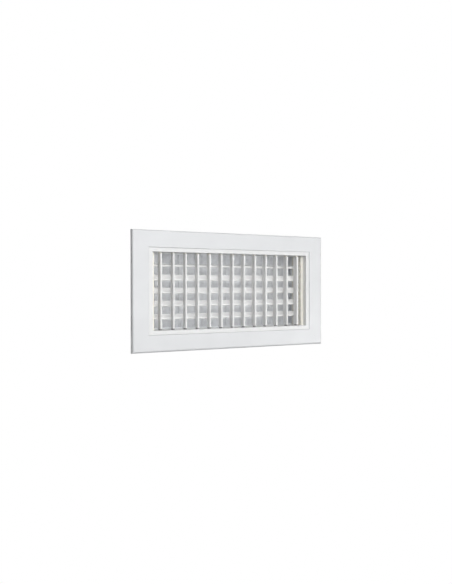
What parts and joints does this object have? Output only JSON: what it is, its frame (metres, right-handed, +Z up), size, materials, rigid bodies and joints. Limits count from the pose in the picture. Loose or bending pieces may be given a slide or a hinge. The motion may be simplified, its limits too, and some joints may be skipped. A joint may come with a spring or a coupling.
{
  "type": "louvred air grille",
  "caption": "White double deflection air grille: upright louvres in a mitred flanged frame, level louvres behind them and an opposed blade damper at the back.",
  "frame": {"origin": "centre of the duct opening, in the plane of the wall that the flange rests on", "axes": "+X to the right seen from the room, +Y into the wall, +Z up"},
  "size_m": [0.332, 0.0753, 0.178],
  "materials": {
    "frame_white": "satin powder coat",
    "core_white": "satin powder coat",
    "bush_dark": "moulded",
    "blade_white": "satin powder coat",
    "nylon": "moulded",
    "foam": "closed-cell foam",
    "mill_aluminium": "mill",
    "galvanised": "zinc coated",
    "spring_steel": "rolled",
    "zinc": "bright zinc"
  },
  "bodies": {
    "frame": {"flange_rail_top": "frame_white", "flange_rail_bottom": "frame_white", "flange_rail_left": "frame_white", "flange_rail_right": "frame_white", "core_rail_top": "core_white", "core_rail_bottom": "core_white", "core_rail_left": "core_white", "core_rail_right": "core_white", "rear_carrier_left": "nylon", "rear_carrier_right": "nylon", "front_bushes_top": "nylon", "front_bushes_bottom": "bush_dark", "wall_gasket": "foam", "flange_corner_keys": "mill_aluminium", "core_corner_keys": "mill_aluminium", "damper_case_top": "galvanised", "damper_case_bottom": "galvanised", "damper_case_left": "galvanised", "damper_case_right": "galvanised", "damper_operator_bracket": "galvanised", "core_springs": "spring_steel", "core_spring_rivets": "zinc", "damper_case_rivets": "zinc", "damper_bracket_rivets": "zinc", "damper_screws": "zinc"},
    "front_blade_01": {"front_blade_01": "blade_white"},
    "front_blade_02": {"front_blade_02": "blade_white"},
    "front_blade_03": {"front_blade_03": "blade_white"},
    "front_blade_04": {"front_blade_04": "blade_white"},
    "front_blade_05": {"front_blade_05": "blade_white"},
    "front_blade_06": {"front_blade_06": "blade_white"},
    "front_blade_07": {"front_blade_07": "blade_white"},
    "front_blade_08": {"front_blade_08": "blade_white"},
    "front_blade_09": {"front_blade_09": "blade_white"},
    "front_blade_10": {"front_blade_10": "blade_white"},
    "front_blade_11": {"front_blade_11": "blade_white"},
    "front_blade_12": {"front_blade_12": "blade_white"},
    "front_blade_13": {"front_blade_13": "blade_white"},
    "rear_blade_1": {"rear_blade_1": "blade_white"},
    "rear_blade_2": {"rear_blade_2": "blade_white"},
    "rear_blade_3": {"rear_blade_3": "blade_white"},
    "rear_blade_4": {"rear_blade_4": "blade_white"},
    "rear_blade_5": {"rear_blade_5": "blade_white"},
    "damper_blade_01": {"damper_blade_01": "galvanised"},
    "damper_blade_02": {"damper_blade_02": "galvanised"},
    "damper_blade_03": {"damper_blade_03": "galvanised"},
    "damper_blade_04": {"damper_blade_04": "galvanised"},
    "damper_blade_05": {"damper_blade_05": "galvanised"},
    "damper_blade_06": {"damper_blade_06": "galvanised"},
    "damper_blade_07": {"damper_blade_07": "galvanised"},
    "damper_blade_08": {"damper_blade_08": "galvanised"},
    "damper_blade_09": {"damper_blade_09": "galvanised"},
    "damper_blade_10": {"damper_blade_10": "galvanised"},
    "damper_link": {"damper_link_bar": "galvanised"},
    "damper_operator": {"damper_operator": "zinc"}
  },
  "joints": [
    {"name": "front_blade_01_turn", "type": "hinge", "parent": "frame", "child": "front_blade_01", "pos_m": [-0.12, 0.0017, 0], "axis": [0, 0, 1], "range_deg": [-60, 60]},
    {"name": "front_blade_02_turn", "type": "hinge", "parent": "frame", "child": "front_blade_02", "pos_m": [-0.1, 0.0017, 0], "axis": [0, 0, 1], "range_deg": [-60, 60]},
    {"name": "front_blade_03_turn", "type": "hinge", "parent": "frame", "child": "front_blade_03", "pos_m": [-0.08, 0.0017, 0], "axis": [0, 0, 1], "range_deg": [-60, 60]},
    {"name": "front_blade_04_turn", "type": "hinge", "parent": "frame", "child": "front_blade_04", "pos_m": [-0.06, 0.0017, 0], "axis": [0, 0, 1], "range_deg": [-60, 60]},
    {"name": "front_blade_05_turn", "type": "hinge", "parent": "frame", "child": "front_blade_05", "pos_m": [-0.04, 0.0017, 0], "axis": [0, 0, 1], "range_deg": [-60, 60]},
    {"name": "front_blade_06_turn", "type": "hinge", "parent": "frame", "child": "front_blade_06", "pos_m": [-0.02, 0.0017, 0], "axis": [0, 0, 1], "range_deg": [-60, 60]},
    {"name": "front_blade_07_turn", "type": "hinge", "parent": "frame", "child": "front_blade_07", "pos_m": [0, 0.0017, 0], "axis": [0, 0, 1], "range_deg": [-60, 60]},
    {"name": "front_blade_08_turn", "type": "hinge", "parent": "frame", "child": "front_blade_08", "pos_m": [0.02, 0.0017, 0], "axis": [0, 0, 1], "range_deg": [-60, 60]},
    {"name": "front_blade_09_turn", "type": "hinge", "parent": "frame", "child": "front_blade_09", "pos_m": [0.04, 0.0017, 0], "axis": [0, 0, 1], "range_deg": [-60, 60]},
    {"name": "front_blade_10_turn", "type": "hinge", "parent": "frame", "child": "front_blade_10", "pos_m": [0.06, 0.0017, 0], "axis": [0, 0, 1], "range_deg": [-60, 60]},
    {"name": "front_blade_11_turn", "type": "hinge", "parent": "frame", "child": "front_blade_11", "pos_m": [0.08, 0.0017, 0], "axis": [0, 0, 1], "range_deg": [-60, 60]},
    {"name": "front_blade_12_turn", "type": "hinge", "parent": "frame", "child": "front_blade_12", "pos_m": [0.1, 0.0017, 0], "axis": [0, 0, 1], "range_deg": [-60, 60]},
    {"name": "front_blade_13_turn", "type": "hinge", "parent": "frame", "child": "front_blade_13", "pos_m": [0.12, 0.0017, 0], "axis": [0, 0, 1], "range_deg": [-60, 60]},
    {"name": "rear_blade_1_tilt", "type": "hinge", "parent": "frame", "child": "rear_blade_1", "pos_m": [0, 0.0175, 0.039], "axis": [1, 0, 0], "range_deg": [-78, 42]},
    {"name": "rear_blade_2_tilt", "type": "hinge", "parent": "frame", "child": "rear_blade_2", "pos_m": [0, 0.0175, 0.0195], "axis": [1, 0, 0], "range_deg": [-110, 10]},
    {"name": "rear_blade_3_tilt", "type": "hinge", "parent": "frame", "child": "rear_blade_3", "pos_m": [0, 0.0175, 0], "axis": [1, 0, 0], "range_deg": [-108, 12]},
    {"name": "rear_blade_4_tilt", "type": "hinge", "parent": "frame", "child": "rear_blade_4", "pos_m": [0, 0.0175, -0.0195], "axis": [1, 0, 0], "range_deg": [-104, 16]},
    {"name": "rear_blade_5_tilt", "type": "hinge", "parent": "frame", "child": "rear_blade_5", "pos_m": [0, 0.0175, -0.039], "axis": [1, 0, 0], "range_deg": [-100, 20]},
    {"name": "damper_operator_turn", "type": "hinge", "parent": "frame", "child": "damper_operator", "pos_m": [-0.124, 0.03, 0.0495], "axis": [0, -1, 0], "range_deg": [0, 90]},
    {"name": "damper_link_slide", "type": "slide", "parent": "frame", "child": "damper_link", "axis": [-1, 0, 0], "range_m": [0, 0.0086]},
    {"name": "damper_blade_01_turn", "type": "hinge", "parent": "frame", "child": "damper_blade_01", "pos_m": [-0.1251, 0.0493, 0], "axis": [0, 0, 1], "range_deg": [0, 90]},
    {"name": "damper_blade_02_turn", "type": "hinge", "parent": "frame", "child": "damper_blade_02", "pos_m": [-0.0973, 0.0493, 0], "axis": [0, 0, -1], "range_deg": [0, 90]},
    {"name": "damper_blade_03_turn", "type": "hinge", "parent": "frame", "child": "damper_blade_03", "pos_m": [-0.0695, 0.0493, 0], "axis": [0, 0, 1], "range_deg": [0, 90]},
    {"name": "damper_blade_04_turn", "type": "hinge", "parent": "frame", "child": "damper_blade_04", "pos_m": [-0.0417, 0.0493, 0], "axis": [0, 0, -1], "range_deg": [0, 90]},
    {"name": "damper_blade_05_turn", "type": "hinge", "parent": "frame", "child": "damper_blade_05", "pos_m": [-0.0139, 0.0493, 0], "axis": [0, 0, 1], "range_deg": [0, 90]},
    {"name": "damper_blade_06_turn", "type": "hinge", "parent": "frame", "child": "damper_blade_06", "pos_m": [0.0139, 0.0493, 0], "axis": [0, 0, -1], "range_deg": [0, 90]},
    {"name": "damper_blade_07_turn", "type": "hinge", "parent": "frame", "child": "damper_blade_07", "pos_m": [0.0417, 0.0493, 0], "axis": [0, 0, 1], "range_deg": [0, 90]},
    {"name": "damper_blade_08_turn", "type": "hinge", "parent": "frame", "child": "damper_blade_08", "pos_m": [0.0695, 0.0493, 0], "axis": [0, 0, -1], "range_deg": [0, 90]},
    {"name": "damper_blade_09_turn", "type": "hinge", "parent": "frame", "child": "damper_blade_09", "pos_m": [0.0973, 0.0493, 0], "axis": [0, 0, 1], "range_deg": [0, 90]},
    {"name": "damper_blade_10_turn", "type": "hinge", "parent": "frame", "child": "damper_blade_10", "pos_m": [0.1251, 0.0493, 0], "axis": [0, 0, -1], "range_deg": [0, 90]}
  ],
  "couplings": [
    {"joint": "damper_link_slide", "follows": "damper_operator_turn", "m_per_rad": 0.0054019},
    {"joint": "damper_blade_01_turn", "follows": "damper_operator_turn", "ratio": 1},
    {"joint": "damper_blade_02_turn", "follows": "damper_operator_turn", "ratio": 1},
    {"joint": "damper_blade_03_turn", "follows": "damper_operator_turn", "ratio": 1},
    {"joint": "damper_blade_04_turn", "follows": "damper_operator_turn", "ratio": 1},
    {"joint": "damper_blade_05_turn", "follows": "damper_operator_turn", "ratio": 1},
    {"joint": "damper_blade_06_turn", "follows": "damper_operator_turn", "ratio": 1},
    {"joint": "damper_blade_07_turn", "follows": "damper_operator_turn", "ratio": 1},
    {"joint": "damper_blade_08_turn", "follows": "damper_operator_turn", "ratio": 1},
    {"joint": "damper_blade_09_turn", "follows": "damper_operator_turn", "ratio": 1},
    {"joint": "damper_blade_10_turn", "follows": "damper_operator_turn", "ratio": 1}
  ]
}
